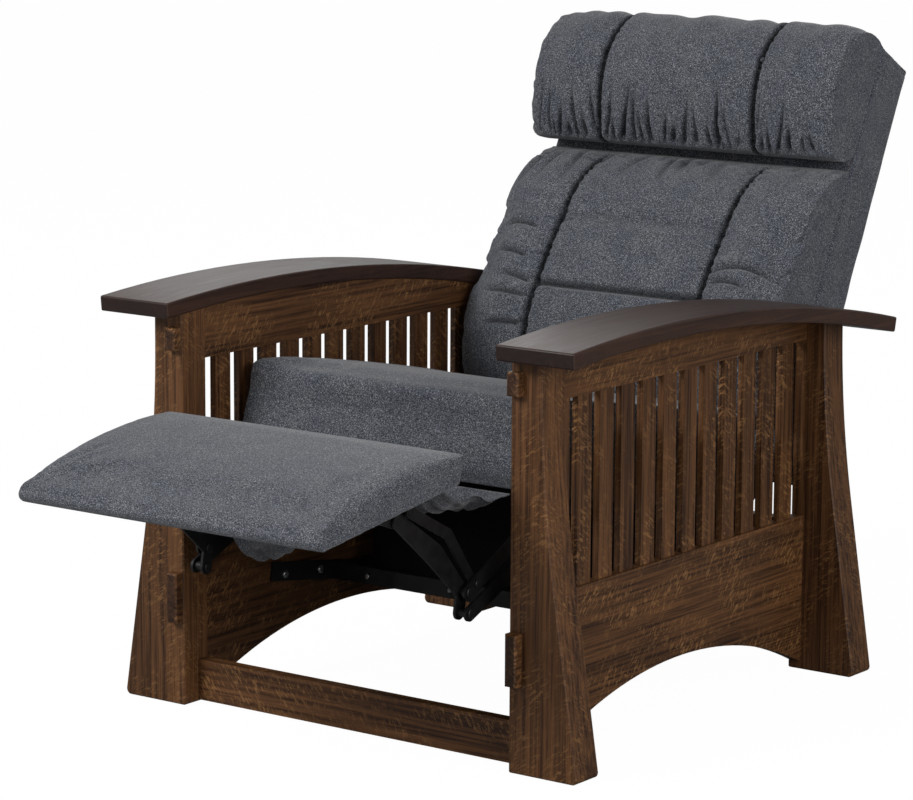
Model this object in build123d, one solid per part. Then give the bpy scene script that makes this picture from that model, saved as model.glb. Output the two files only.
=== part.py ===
from build123d import *

import os
from math import cos, hypot, radians, sin, sqrt

# A mission reclining armchair in oak, shown with its back reclined and its footrest out.
# Millimetres. X runs to the right seen from the front, Y to the back and Z up from the floor.
# Y is 0 at the front faces of the front posts until the whole chair is moved onto its centre.
# Left and right are as seen from the front.

# Wooden frame
inner_width = 584.0
frame_depth = 790.0
post_depth = 54.0
post_top_width = 52.0
post_foot_width = 115.0
flare_top_drop = 4.0
flare_straight_height = 265.0
foot_round = 8.0
edge_round = 1.8

# Arms, bent boards that fall to the back
arm_thickness = 23.0
arm_width = 128.2
arm_inward_lap = 2.6
arm_front_y = -35.0
arm_rear_height = 544.0
arm_fall = 56.4
arm_front_height = arm_rear_height + arm_fall
arm_rear_overhang = 34.0
arm_rear_y = frame_depth + arm_rear_overhang
arm_rise = 34.8
arm_edge_round = 3.0
flare_top_height = arm_rear_height - flare_top_drop

# Height of the seat's front, which the mechanism, the back and the footrest follow
seat_front_height = 366.0

# Side rails and their through tenons
rail_inset = 2.0
rail_thickness = 19.0
top_rail_rear_depth = 34.0
top_rail_underside = arm_rear_height - top_rail_rear_depth
bottom_rail_top = 240.0
arch_spring_height = 12.0
arch_crown_height = 89.0
tenon_projection = 15.0
tenon_bevel = 2.5
top_tenon_drop = 72.4
top_tenon_foot = arm_front_height - top_tenon_drop
top_tenon_height = 33.0
rear_top_tenon_drop = 32.0
rear_top_tenon_foot = arm_rear_height - rear_top_tenon_drop
rear_top_tenon_height = 17.0
rear_top_tenon_length = 30.0
bottom_tenon_foot = 125.0
bottom_tenon_height = 74.0

# Slats, twelve to a side, housed in both rails
slat_count = 12
slat_width = 34.0
slat_thickness = 10.0
slat_end_margin = 45.65
slat_pitch = (frame_depth - 2 * (post_depth + slat_end_margin)) / (slat_count - 1)
slat_housing = 10.0

# Front and back rails with stub tenons
cross_rail_thickness = 19.0
cross_rail_setback = 31.0
front_rail_foot = 3.0
front_rail_height = 61.0
back_rail_foot = 30.0
back_rail_height = 200.0
stub_tenon_length = 15.0
stub_tenon_thickness = 11.0
front_stub_foot = 14.0
front_stub_height = 38.0
back_stub_foot = 42.0
back_stub_height = 70.0

# Clearances, and how far a cutting block runs past what it cuts
overrun = 20.0
joinery_gap = 0.1
seat_gap = 0.3
pin_gap = 0.25
open_pin_gap = 0.9

# Steel base: a flat bar inside each lower side rail, joined by two square tubes
base_fall_deg = 8.7
base_bar_gauge = 3.2
base_bar_height = 29.0
base_bar_front = -156.0
base_bar_overhang = 60.0
tube_underside_drop = 239.5
tube_underside = seat_front_height - tube_underside_drop
tube_size = 25.0
tube_wall = 2.0
front_tube_y = 354.0
rear_tube_margin = 196.0
rear_tube_run = frame_depth - rear_tube_margin - front_tube_y
base_bar_rear = rear_tube_run + base_bar_overhang
tilt_bracket_width = 70.0
tilt_bracket_nose = 14.0

# Seat box, upholstered, sloping down to the back
seat_tilt_deg = 11.6
seat_front_y = 110.0
seat_side_gap = 12.0
seat_half_width = inner_width / 2 - seat_side_gap
board_thickness = 23.8
board_side_gap = 4.0
board_outer_x = seat_half_width - board_side_gap
board_height = 63.7
board_front = 28.0
board_rear = 545.0
cross_board_thickness = 22.0
cross_board_foot = 20.5
cross_board_top = 60.0
corner_block_size = 45.0
corner_block_height = 30.0
seat_cushion_height = 138.0
seat_crown = 8.0
seat_cushion_rear_top = 516.0
seat_cushion_rear_foot = 541.0
seat_front_lean = 12.0
seat_front_bulge = 6.0
seat_front_round = 20.0
seat_draw_in = 2.0

# Sinuous springs
spring_count = 4
spring_spacing = 118.0
spring_wire = 3.5
spring_pitch = 24.0
spring_half_span = 20.0
spring_end_margin = 14.0

# Links, cut from flat steel, in layers that count from the seat plate towards the middle
link_gauge = 4.0
layer_step = 6.0
plate_side_gap = 44.0
plate_inner_x = inner_width / 2 - plate_side_gap
pin_radius = 5.0
stay_pin_radius = 4.0
bush_radius = 6.5
link_nose = 11.0
stay_nose = 8.0

# Pivots in the side view, as (Y, Z), with the footrest out
footrest_rear_y = -90.0
footrest_rear_rise = 43.0
footrest_rear_height = seat_front_height + footrest_rear_rise
foot_pivot_setback = 75.0
foot_pivot_drop = 37.0
stay_head_setback = 57.0
stay_head_drop = 27.0
tilt_pivot_y = 470.0
tilt_pivot_drop = 104.0
tilt_pivot = (tilt_pivot_y, seat_front_height - tilt_pivot_drop)
back_pivot_y = 736.0
back_pivot_drop = 40.0
back_pivot = (back_pivot_y, seat_front_height - back_pivot_drop)
rear_link_pivot_y = 139.7
rear_link_pivot_drop = 37.0
rear_link_pivot = (rear_link_pivot_y, seat_front_height - rear_link_pivot_drop)
knee_pivot_y = -22.0
knee_pivot_drop = 116.0
knee_pivot = (knee_pivot_y, seat_front_height - knee_pivot_drop)
foot_pivot = (footrest_rear_y - foot_pivot_setback, footrest_rear_height - foot_pivot_drop)
control_pivot_y = 116.5
control_pivot_drop = 84.5
control_pivot = (control_pivot_y, seat_front_height - control_pivot_drop)
control_tail_y = -26.9
control_tail_drop = 143.6
control_tail = (control_tail_y, seat_front_height - control_tail_drop)
stay_pivot_y = -4.0
stay_pivot_drop = 106.75
stay_pivot = (stay_pivot_y, seat_front_height - stay_pivot_drop)
stay_head = (footrest_rear_y - stay_head_setback, footrest_rear_height - stay_head_drop)

# Seat side plates, places along the seat and above its underside
plate_bar_half = 16.0
plate_bar_rear = 560.0
plate_nose = 13.0
plate_rear_nose = 20.0
plate_bar_axis = 2.0
plate_front_margin = 4.0

# Back, reclined: a plane through its rear face, with the distance s up it
back_rake_deg = 26.5
back_rear_y = 910.0
back_rear_rise = 174.6
back_rear_height = seat_front_height + back_rear_rise
back_side_gap = 17.0
back_half_width = inner_width / 2 - back_side_gap
back_foot = -295.0
back_frame_top = 372.0
back_post_thickness = 17.5
back_post_depth = 84.0
back_panel_thickness = 3.5
back_rail_width = 60.0
back_rail_gauge = 20.0
back_mid_rail_s = 150.0
back_bracket_length = 150.0
back_bracket_nose = 18.0

# Lower back cushion and headrest
lower_back_foot = -238.0
lower_back_top = 190.0
lower_back_depth = 138.0
pillow_groove = 5.0
headrest_foot = 195.0
headrest_top = 402.0
headrest_depth = 127.0
headrest_cap = 8.0
lower_seam_x = 150.0
headrest_seam_x = 143.0
seam_half_width = 7.0

# Footrest
footrest_slope_deg = 8.04
footrest_side_gap = 26.0
footrest_half_width = inner_width / 2 - footrest_side_gap
footrest_board_lap = 8.0
footrest_board_half_width = footrest_half_width - footrest_board_lap
footrest_board_gauge = 13.0
footrest_board_rear = 14.0
footrest_board_toe = 270.0
footrest_toe = 292.0
footrest_overhang = 33.0
footrest_top = 52.0
footrest_toe_round = 14.0
foot_bracket_start = 50.0
foot_bracket_end = 150.0
foot_flange_width = 22.0
foot_flange_gauge = 3.0

# Loose cloth between the footrest and the seat
flap_gauge = 2.5
flap_fullness = 2.6
flap_sags = [
    # place across the chair, how far the cloth hangs there
    (-262.0, 14.0), (-212.0, 16.0), (-190.0, 105.0), (-120.0, 140.0), (-20.0, 142.0),
    (90.0, 110.0), (190.0, 45.0), (218.0, 16.0), (262.0, 12.0),
]

# Shares of the cushions' outlines: first along the cushion, then out from its back
lower_back_shares = [
    (0.0, 0.55), (0.25, 1.0), (0.364, 0.98), (0.5, 0.93), (0.65, 0.835), (0.80, 0.70), (0.95, 0.30),
]
station_shares = [
    # place across the half width, fullness, depth of the cross grooves
    (1.0, 0.80, 0.0),
    (0.955, 0.91, 0.0),
    (0.75, 1.0, 0.0),
]
middle_station_shares = [(0.25, 0.99, 1.0), (0.0, 1.0, 1.0)]
flap_shares = [0.0, 0.12, 0.3, 0.5, 0.7, 0.88, 1.0]
seam_fullness_share = 0.92
edge_station_share = 0.95
crown_station_share = 0.5
edge_fullness_share = 0.9
pillow_end_share = 0.55
headrest_lip_share = 0.66
headrest_crown_share = 0.35
headrest_brow_share = 0.68

RIGHT = (1.0, 0.0, 0.0)
REARWARD = (0.0, 1.0, 0.0)

half_inner = inner_width / 2
rail_x = half_inner + rail_inset
rail_outer_x = rail_x + rail_thickness
slat_x = rail_x + (rail_thickness - slat_thickness) / 2
bay_front = post_depth
bay_rear = frame_depth - post_depth
rear_of_tenons = frame_depth + tenon_projection

side_view = Plane.YZ
front_view = Plane.XZ

control_x = plate_inner_x - layer_step
rear_link_x = control_x - layer_step
stay_x = rear_link_x - layer_step
front_link_x = stay_x - layer_step
foot_bracket_x = front_link_x - layer_step
plate_outer_x = plate_inner_x + link_gauge
board_inner_x = board_outer_x - board_thickness


def side_prism(face, x_from, x_to, plane=side_view):
    """A face drawn in a side view, as thick as the run from x_from to x_to."""
    return Pos(x_from, 0, 0) * extrude(plane * face, amount=x_to - x_from, dir=RIGHT)


def front_prism(face, y_from, y_to):
    """A face drawn in the front view, as deep as the run from y_from to y_to."""
    return Pos(0, y_from, 0) * extrude(front_view * face, amount=y_to - y_from, dir=REARWARD)


def block(x_from, x_to, y_from, y_to, z_from, z_to):
    """A square-edged block between two corners."""
    size = (x_to - x_from, y_to - y_from, z_to - z_from)
    return Pos((x_from + x_to) / 2, (y_from + y_to) / 2, (z_from + z_to) / 2) * Box(*size)


def rectangle(u_from, u_to, v_from, v_to):
    """A rectangle between two corners of a drawing."""
    middle = Pos((u_from + u_to) / 2, (v_from + v_to) / 2)
    return middle * Rectangle(u_to - u_from, v_to - v_from)


def mirrored(shape):
    """The same piece on the chair's left side."""
    return mirror(shape, about=Plane.YZ)


def strap(points, radii):
    """A link's outline: round ends and straight edges between each point and the next."""
    outline = None
    for (p, r), (q, s) in zip(list(zip(points, radii))[:-1], list(zip(points, radii))[1:]):
        piece = make_hull((Pos(*p) * Circle(r)).edges() + (Pos(*q) * Circle(s)).edges())
        outline = piece if outline is None else outline + piece
    return outline


def bored(outline, points, radius):
    """An outline with a round hole at each of the points."""
    for p in points:
        outline = outline - Pos(*p) * Circle(radius)
    return outline


def pin(point, radius, x_from, x_to):
    """A round pin along X through a point of the side view."""
    return side_prism(Pos(*point) * Circle(radius), x_from, x_to)


def compound(pieces):
    """Separate solids kept as one piece."""
    return Compound([solid for piece in pieces for solid in piece.solids()])


# The arm's upper face is an arc about this centre
arm_run = hypot(arm_rear_y - arm_front_y, arm_rear_height - arm_front_height)
arm_radius = (arm_run ** 2 / 4 + arm_rise ** 2) / (2 * arm_rise)
arm_normal = ((arm_front_height - arm_rear_height) / arm_run, (arm_rear_y - arm_front_y) / arm_run)
arm_centre = (
    (arm_front_y + arm_rear_y) / 2 - arm_normal[0] * (arm_radius - arm_rise),
    (arm_front_height + arm_rear_height) / 2 - arm_normal[1] * (arm_radius - arm_rise),
)


def arm_height(y, depth):
    """Height of the arc that lies this far under the arm's upper face."""
    return arm_centre[1] + sqrt((arm_radius - depth) ** 2 - (y - arm_centre[0]) ** 2)


def arm_corner(y, z, depth):
    """A point of the upper face, moved square to it by depth."""
    share = depth / arm_radius
    return (y + (arm_centre[0] - y) * share, z + (arm_centre[1] - z) * share)


def arm_arc(y_from, y_to, depth):
    """The arc under the arm between two places."""
    middle = (y_from + y_to) / 2
    ends = [(y, arm_height(y, depth)) for y in (y_from, middle, y_to)]
    return ThreePointArc(*ends)


def under_arm(face_foot, y_from, y_to):
    """An outline whose top lies just under the arm."""
    depth = arm_thickness + seat_gap
    top = arm_arc(y_from, y_to, depth)
    front, rear = (y_from, arm_height(y_from, depth)), (y_to, arm_height(y_to, depth))
    sides = Polyline(rear, (y_to, face_foot), (y_from, face_foot), front)
    return make_face(top.edges() + sides.edges())


def arm():
    """A bent arm board with square ends."""
    top = arm_arc(arm_front_y, arm_rear_y, 0)
    front = arm_corner(arm_front_y, arm_front_height, arm_thickness)
    rear = arm_corner(arm_rear_y, arm_rear_height, arm_thickness)
    under = arm_arc(front[0], rear[0], arm_thickness)
    ends = [Line((arm_front_y, arm_front_height), front), Line((arm_rear_y, arm_rear_height), rear)]
    outline = make_face(top.edges() + under.edges() + [end.edge() for end in ends])
    inner = half_inner - arm_inward_lap
    board = side_prism(outline, inner, inner + arm_width)
    return fillet(board.edges(), arm_edge_round)


def post_outline():
    """A post from the front: straight inside, flared outside towards its foot."""
    flare = post_foot_width - post_top_width
    curve = flare_top_height - flare_straight_height
    knee = half_inner + post_top_width + flare * curve / (curve + 2 * flare_straight_height)
    top = (half_inner + post_top_width, flare_top_height)
    shoulder = (half_inner + post_top_width, arm_front_height)
    sweep_in = TangentArc(top, (knee, flare_straight_height), tangent=(0, -1))
    foot = (half_inner + post_foot_width, 0)
    rest = Polyline((knee, flare_straight_height), foot, (half_inner, 0), (half_inner, shoulder[1]), shoulder, top)
    face = make_face(sweep_in.edges() + rest.edges())
    corner = face.vertices().sort_by(Axis.Y)[:2].sort_by(Axis.X)[-1]
    return fillet(corner, foot_round)


def tenon_slot(foot, height, y_from, y_to):
    """The mortise for a side rail's tenon, cut right through a post."""
    return block(
        rail_x - joinery_gap, rail_outer_x + joinery_gap, y_from, y_to,
        foot - joinery_gap, foot + height + joinery_gap,
    )


def stub_slot(foot, height, y_middle):
    """The blind mortise for a front or back rail."""
    half = stub_tenon_thickness / 2 + joinery_gap
    return block(
        half_inner - joinery_gap, half_inner + stub_tenon_length + joinery_gap,
        y_middle - half, y_middle + half, foot - joinery_gap, foot + height + joinery_gap,
    )


def post(y_from, top_mortise, stub_foot, stub_height, stub_y):
    """A post with its mortises, cut off under the arm."""
    y_to = y_from + post_depth
    body = front_prism(post_outline(), y_from, y_to)
    outer = [e for e in body.edges() if e.length > post_top_width and e.center().Z < flare_top_height]
    body = chamfer(outer, edge_round)
    body = body & side_prism(under_arm(0, y_from, y_to), half_inner, half_inner + post_foot_width)
    body = body - top_mortise
    body = body - tenon_slot(bottom_tenon_foot, bottom_tenon_height, y_from, y_to)
    return body - stub_slot(stub_foot, stub_height, stub_y)


front_rail_y = cross_rail_setback
back_rail_y = frame_depth - cross_rail_setback - cross_rail_thickness


def front_post():
    middle = front_rail_y + cross_rail_thickness / 2
    top_mortise = tenon_slot(top_tenon_foot, top_tenon_height, 0, post_depth)
    return post(0, top_mortise, front_stub_foot, front_stub_height, middle)


def back_post():
    middle = back_rail_y + cross_rail_thickness / 2
    blind_end = bay_rear + rear_top_tenon_length + joinery_gap
    top_mortise = tenon_slot(rear_top_tenon_foot, rear_top_tenon_height, bay_rear, blind_end)
    return post(bay_rear, top_mortise, back_stub_foot, back_stub_height, middle)


def through_tenon(foot, height, y_from, y_to):
    """A tenon whose outer end is bevelled all round."""
    body = block(rail_x, rail_outer_x, y_from, y_to, foot, foot + height)
    faces = body.faces().sort_by(Axis.Y)
    end = faces[0] if y_from < 0 else faces[-1]
    return chamfer(end.edges(), tenon_bevel)


def slat_places():
    """Middles of the slats of one side."""
    first = frame_depth / 2 - slat_pitch * (slat_count - 1) / 2
    return [first + slat_pitch * i for i in range(slat_count)]


def slat_pockets(z_from, z_to):
    """The housings of one side's slats in a rail."""
    half = slat_width / 2 + joinery_gap
    x_from, x_to = slat_x - joinery_gap, slat_x + slat_thickness + joinery_gap
    return [block(x_from, x_to, y - half, y + half, z_from, z_to) for y in slat_places()]


def side_bottom_rail():
    """The lower side rail, arched underneath, with its through tenons."""
    middle = frame_depth / 2
    arch = ThreePointArc(
        (bay_front, arch_spring_height), (middle, arch_crown_height), (bay_rear, arch_spring_height)
    )
    rest = Polyline(
        (bay_rear, arch_spring_height), (bay_rear, bottom_rail_top), (bay_front, bottom_rail_top),
        (bay_front, arch_spring_height),
    )
    body = side_prism(make_face(arch.edges() + rest.edges()), rail_x, rail_outer_x)
    body += through_tenon(bottom_tenon_foot, bottom_tenon_height, -tenon_projection, bay_front)
    body += through_tenon(bottom_tenon_foot, bottom_tenon_height, bay_rear, rear_of_tenons)
    for pocket in slat_pockets(bottom_rail_top - slat_housing - joinery_gap, bottom_rail_top):
        body -= pocket
    return body


def side_top_rail():
    """The upper side rail, shaped to the arm, with its through tenons."""
    body = side_prism(under_arm(top_rail_underside, bay_front, bay_rear), rail_x, rail_outer_x)
    body += through_tenon(top_tenon_foot, top_tenon_height, -tenon_projection, bay_front)
    blind_end = bay_rear + rear_top_tenon_length
    blind_top = rear_top_tenon_foot + rear_top_tenon_height
    body += block(rail_x, rail_outer_x, bay_rear, blind_end, rear_top_tenon_foot, blind_top)
    for pocket in slat_pockets(top_rail_underside, top_rail_underside + slat_housing + joinery_gap):
        body -= pocket
    return body


def slat(y):
    """One slat, let into both rails."""
    half = slat_width / 2
    z_from, z_to = bottom_rail_top - slat_housing, top_rail_underside + slat_housing
    return block(slat_x, slat_x + slat_thickness, y - half, y + half, z_from, z_to)


def cross_rail(y_from, foot, height, stub_foot, stub_height):
    """A rail between two posts with a stub tenon at each end."""
    y_to = y_from + cross_rail_thickness
    middle = (y_from + y_to) / 2
    half = stub_tenon_thickness / 2
    reach = half_inner + stub_tenon_length
    body = block(-half_inner, half_inner, y_from, y_to, foot, foot + height)
    return body + block(-reach, reach, middle - half, middle + half, stub_foot, stub_foot + stub_height)


# Steel base
# Steel base: u runs back along the bars from the front tube and v up from their lower edge
base_bar_outer_x = rail_x - seat_gap
base_bar_inner_x = base_bar_outer_x - base_bar_gauge
tilt_bracket_x = plate_outer_x + seat_gap
base_along = (0.0, cos(radians(base_fall_deg)), -sin(radians(base_fall_deg)))
base_plane = Plane(origin=(0, front_tube_y, tube_underside), x_dir=base_along, z_dir=RIGHT)


def on_base(point):
    """A side-view point as its place along the bars and above their lower edge."""
    dy, dz = point[0] - front_tube_y, point[1] - tube_underside
    c, s = cos(radians(base_fall_deg)), sin(radians(base_fall_deg))
    return (dy * c - dz * s, dy * s + dz * c)


def mechanism_rail():
    """A flat bar screwed inside the lower rail, with the bracket that the seat tilts on."""
    bar = rectangle(base_bar_front, base_bar_rear, 0, base_bar_height)
    body = side_prism(bar, base_bar_inner_x, base_bar_outer_x, base_plane)
    tilt = on_base(tilt_pivot)
    half = tilt_bracket_width / 2
    shelf = rectangle(tilt[0] - half, tilt[0] + half, 0, link_gauge)
    body += side_prism(shelf, tilt_bracket_x, base_bar_inner_x, base_plane)
    nose = (Pos(*tilt) * Circle(tilt_bracket_nose)).edges()
    foot = Line((tilt[0] - half, 0), (tilt[0] + half, 0)).edges()
    bracket_to = tilt_bracket_x + link_gauge
    body += side_prism(make_hull(nose + foot), tilt_bracket_x, bracket_to, base_plane)
    return body + pin(tilt_pivot, pin_radius, plate_inner_x, bracket_to)


def cross_tube(run):
    """A square tube across the base, between both bars."""
    half = base_bar_inner_x - seat_gap
    walls = rectangle(run, run + tube_size, 0, tube_size)
    bore = rectangle(run + tube_wall, run + tube_size - tube_wall, tube_wall, tube_size - tube_wall)
    return side_prism(walls - bore, -half, half, base_plane)


# Seat: u runs back along its underside and w up from it
seat_along = (0.0, cos(radians(seat_tilt_deg)), -sin(radians(seat_tilt_deg)))
seat_plane = Plane(origin=(0, seat_front_y, seat_front_height), x_dir=seat_along, z_dir=RIGHT)


def on_seat(point):
    """A side-view point as its place along the seat and above its underside."""
    dy, dz = point[0] - seat_front_y, point[1] - seat_front_height
    c, s = cos(radians(seat_tilt_deg)), sin(radians(seat_tilt_deg))
    return (dy * c - dz * s, dy * s + dz * c)


def seat_block(x_from, x_to, u_from, u_to, w_from, w_to):
    """A block square to the sloping seat."""
    return side_prism(rectangle(u_from, u_to, w_from, w_to), x_from, x_to, seat_plane)


def seat_frame():
    """Side boards, cross boards between them and glued corner blocks."""
    side = seat_block(board_inner_x, board_outer_x, board_front, board_rear, 0, board_height)
    reach = board_inner_x
    front = seat_block(
        -reach, reach, board_front, board_front + cross_board_thickness, cross_board_foot, cross_board_top
    )
    rear = seat_block(
        -reach, reach, board_rear - cross_board_thickness, board_rear, cross_board_foot, cross_board_top
    )
    blocks = []
    for u, direction in (
        (board_front + cross_board_thickness, 1), (board_rear - cross_board_thickness, -1),
    ):
        corner = Polygon(
            (board_inner_x, u), (board_inner_x - corner_block_size, u),
            (board_inner_x, u + direction * corner_block_size), align=None,
        )
        top_plane = Plane(
            origin=seat_plane.from_local_coords((0, cross_board_foot, 0)), x_dir=RIGHT,
            z_dir=seat_plane.y_dir,
        )
        blocks.append(extrude(top_plane * corner, amount=corner_block_height, dir=seat_plane.y_dir))
    solids = [side, mirrored(side), front, rear]
    for corner_block in blocks:
        solids += [corner_block, mirrored(corner_block)]
    return compound(solids)


def seat_springs():
    """Sinuous springs that run from the front board to the rear board."""
    start = board_front + spring_end_margin
    loops = int((board_rear - spring_end_margin - start) / spring_pitch)
    top_plane = Plane(
        origin=seat_plane.from_local_coords((0, cross_board_top, 0)), x_dir=RIGHT, z_dir=seat_plane.y_dir
    )
    half_pitch = spring_pitch / 2
    half_wire = spring_wire / 2
    ring = Circle(half_pitch + half_wire) - Circle(half_pitch - half_wire)
    half_ring = ring & rectangle(0, spring_pitch, -spring_pitch, spring_pitch)
    solids = []
    for number in range(spring_count):
        x = spring_spacing * (number - (spring_count - 1) / 2)
        outline = None
        for i in range(loops + 1):
            u = start + i * spring_pitch
            bar = Pos(x, u) * Rectangle(2 * spring_half_span, spring_wire)
            outline = bar if outline is None else outline + bar
            if i < loops:
                turn = 0 if i % 2 == 0 else 180
                side = spring_half_span if i % 2 == 0 else -spring_half_span
                outline += Pos(x + side, u + half_pitch) * Rot(0, 0, turn) * half_ring
        solids.append(extrude(top_plane * outline, amount=spring_wire, dir=seat_plane.y_dir))
    return compound(solids)


def across(plane, half_width, profile, stations):
    """A cushion: its side profile stands at stations across the width, fuller or flatter at each."""
    sections = []
    places = sorted({(sign * x, fullness, groove) for x, fullness, groove in stations for sign in (-1, 1)})
    for x, fullness, groove in places:
        sections.append(Pos(x * half_width, 0, 0) * (plane * profile(fullness, groove)))
    return loft(sections, ruled=True)


def seat_cushion_profile(fullness, groove):
    """Side view of the seat cushion, with its padded front lapping the frame."""
    lowered = seat_draw_in * (1 - fullness) / (1 - edge_fullness_share)
    top = seat_cushion_height - lowered
    lean = seat_front_lean - lowered
    front = ThreePointArc((0, 0), (-seat_front_bulge + lowered / 2, top / 2), (-lean, top - seat_front_round))
    corner = ThreePointArc(
        (-lean, top - seat_front_round), (-lean + seat_front_round * (1 - sqrt(0.5)), top - seat_front_round * (1 - sqrt(0.5))),
        (-lean + seat_front_round, top),
    )
    crown = ThreePointArc(
        (-lean + seat_front_round, top), (seat_cushion_rear_top / 2, top + seat_crown * fullness),
        (seat_cushion_rear_top, top),
    )
    rest = Polyline((seat_cushion_rear_top, top), (seat_cushion_rear_foot, 0), (0, 0))
    return make_face(front.edges() + corner.edges() + crown.edges() + rest.edges())


def pillow_stations():
    """A plain cushion: drawn in at its sides and crowned in the middle."""
    return [
        (1.0, edge_fullness_share, 0), (edge_station_share, 1 - (1 - edge_fullness_share) / 4, 0),
        (crown_station_share, 1.0, 0), (0.0, 1.0, 0),
    ]


def seat_cushion():
    """The seat's padding, open underneath for the frame, with its front lapping the front board."""
    body = across(seat_plane, seat_half_width, seat_cushion_profile, pillow_stations())
    reach = seat_half_width + overrun
    bed = board_height + seat_gap
    return body - seat_block(-reach, reach, board_front - seat_gap, board_rear + overrun, -overrun, bed)


def seat_side_plate():
    """The mechanism's side plate: the bar under the seat board, its hangers and its pins."""
    tilt, back = on_seat(tilt_pivot), on_seat(back_pivot)
    rear_link, control = on_seat(rear_link_pivot), on_seat(control_pivot)
    bar_front = (board_front + plate_bar_half + plate_front_margin, plate_bar_axis)
    bar_rear = (plate_bar_rear, plate_bar_axis)
    outline = strap([bar_front, bar_rear, back], [plate_bar_half, plate_bar_half, plate_rear_nose])
    half = tilt_bracket_width / 2
    hanger = [(tilt[0] - half, plate_bar_axis), tilt, (tilt[0] + half, plate_bar_axis)]
    outline += strap(hanger, [plate_bar_half, tilt_bracket_nose, plate_bar_half])
    outline += strap([bar_front, rear_link, control], [plate_bar_half, plate_nose, plate_nose])
    outline += strap([(bar_front[0] + tilt_bracket_width, plate_bar_axis), rear_link], [plate_bar_half, plate_nose])
    outline = bored(outline, [tilt, back], pin_radius + pin_gap)
    body = side_prism(outline, plate_inner_x, plate_outer_x, seat_plane)
    body += pin(rear_link_pivot, pin_radius, rear_link_x, plate_outer_x)
    bush_end = rear_link_x + link_gauge + seat_gap
    body += pin(rear_link_pivot, bush_radius, bush_end, plate_inner_x)
    return body + pin(control_pivot, pin_radius, control_x, plate_outer_x)


def rear_link():
    """The driving link from the seat plate to the knee."""
    outline = strap([rear_link_pivot, knee_pivot], [link_nose, link_nose])
    outline = bored(outline, [rear_link_pivot], pin_radius + pin_gap)
    body = side_prism(outline, rear_link_x, rear_link_x + link_gauge)
    body += pin(knee_pivot, pin_radius, front_link_x, rear_link_x)
    body += pin(knee_pivot, bush_radius, front_link_x + link_gauge + seat_gap, rear_link_x)
    return body + pin(stay_pivot, pin_radius, stay_x, rear_link_x)


def front_link():
    """The wide knee link that carries the footrest, with a tail for the control link."""
    span = (foot_pivot[0] - knee_pivot[0], foot_pivot[1] - knee_pivot[1])
    belly_share = 0.45
    belly_offset_share = 0.04
    belly = (
        knee_pivot[0] + span[0] * belly_share + span[1] * belly_offset_share,
        knee_pivot[1] + span[1] * belly_share - span[0] * belly_offset_share,
    )
    belly_radius = link_nose * 3 / 2
    outline = strap([knee_pivot, belly, foot_pivot], [link_nose, belly_radius, link_nose])
    outline += strap([knee_pivot, control_tail], [link_nose, link_nose])
    outline = bored(outline, [knee_pivot, foot_pivot], pin_radius + pin_gap)
    outline = bored(outline, [control_tail], pin_radius + open_pin_gap)
    return side_prism(outline, front_link_x, front_link_x + link_gauge)


def control_link():
    """The link that turns the knee link as the footrest comes out."""
    outline = bored(strap([control_pivot, control_tail], [link_nose, link_nose]), [control_pivot], pin_radius + pin_gap)
    body = side_prism(outline, control_x, control_x + link_gauge)
    body += pin(control_tail, pin_radius, front_link_x, control_x)
    return body + pin(control_tail, bush_radius, front_link_x + link_gauge + seat_gap, control_x)


def stay_link():
    """The narrow bent stay that keeps the footrest level."""
    span = (stay_head[0] - stay_pivot[0], stay_head[1] - stay_pivot[1])
    bow_share = 0.12
    bow = (
        (stay_pivot[0] + stay_head[0]) / 2 + span[1] * bow_share,
        (stay_pivot[1] + stay_head[1]) / 2 - span[0] * bow_share,
    )
    outline = strap([stay_pivot, bow, stay_head], [stay_nose, stay_nose, stay_nose])
    outline = bored(outline, [stay_pivot], pin_radius + pin_gap)
    outline = bored(outline, [stay_head], stay_pin_radius + open_pin_gap)
    return side_prism(outline, stay_x, stay_x + link_gauge)


# Footrest: a runs out to the toe along its underside and m up from it
footrest_out = (0.0, -cos(radians(footrest_slope_deg)), -sin(radians(footrest_slope_deg)))
footrest_plane = Plane(
    origin=(0, footrest_rear_y, footrest_rear_height), x_dir=footrest_out, z_dir=(-1.0, 0.0, 0.0)
)


def on_footrest(point):
    """A side-view point as its place along the footrest and above its underside."""
    dy, dz = point[0] - footrest_rear_y, point[1] - footrest_rear_height
    c, s = cos(radians(footrest_slope_deg)), sin(radians(footrest_slope_deg))
    return (-dy * c - dz * s, -dy * s + dz * c)


def footrest_bracket():
    """The plate and flange that hold the footrest board on its links."""
    foot, head = on_footrest(foot_pivot), on_footrest(stay_head)
    plate = make_hull(
        (Pos(*foot) * Circle(link_nose)).edges() + (Pos(*head) * Circle(stay_nose)).edges()
        + Line((foot_bracket_start, -seat_gap), (foot_bracket_end, -seat_gap)).edges()
    )
    x_from, x_to = foot_bracket_x, foot_bracket_x + link_gauge
    body = side_prism(plate, x_from, x_to, footrest_plane)
    flange = rectangle(foot_bracket_start, foot_bracket_end, -seat_gap - foot_flange_gauge, -seat_gap)
    body += side_prism(flange, x_from - foot_flange_width, x_from, footrest_plane)
    body += pin(foot_pivot, pin_radius, x_from, front_link_x + link_gauge)
    body += pin(stay_head, stay_pin_radius, x_from, stay_x + link_gauge)
    return body


def footrest_board():
    """The plywood under the footrest cushion."""
    outline = rectangle(-footrest_board_rear, footrest_board_toe, 0, footrest_board_gauge)
    return side_prism(outline, -footrest_board_half_width, footrest_board_half_width, footrest_plane)


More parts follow.
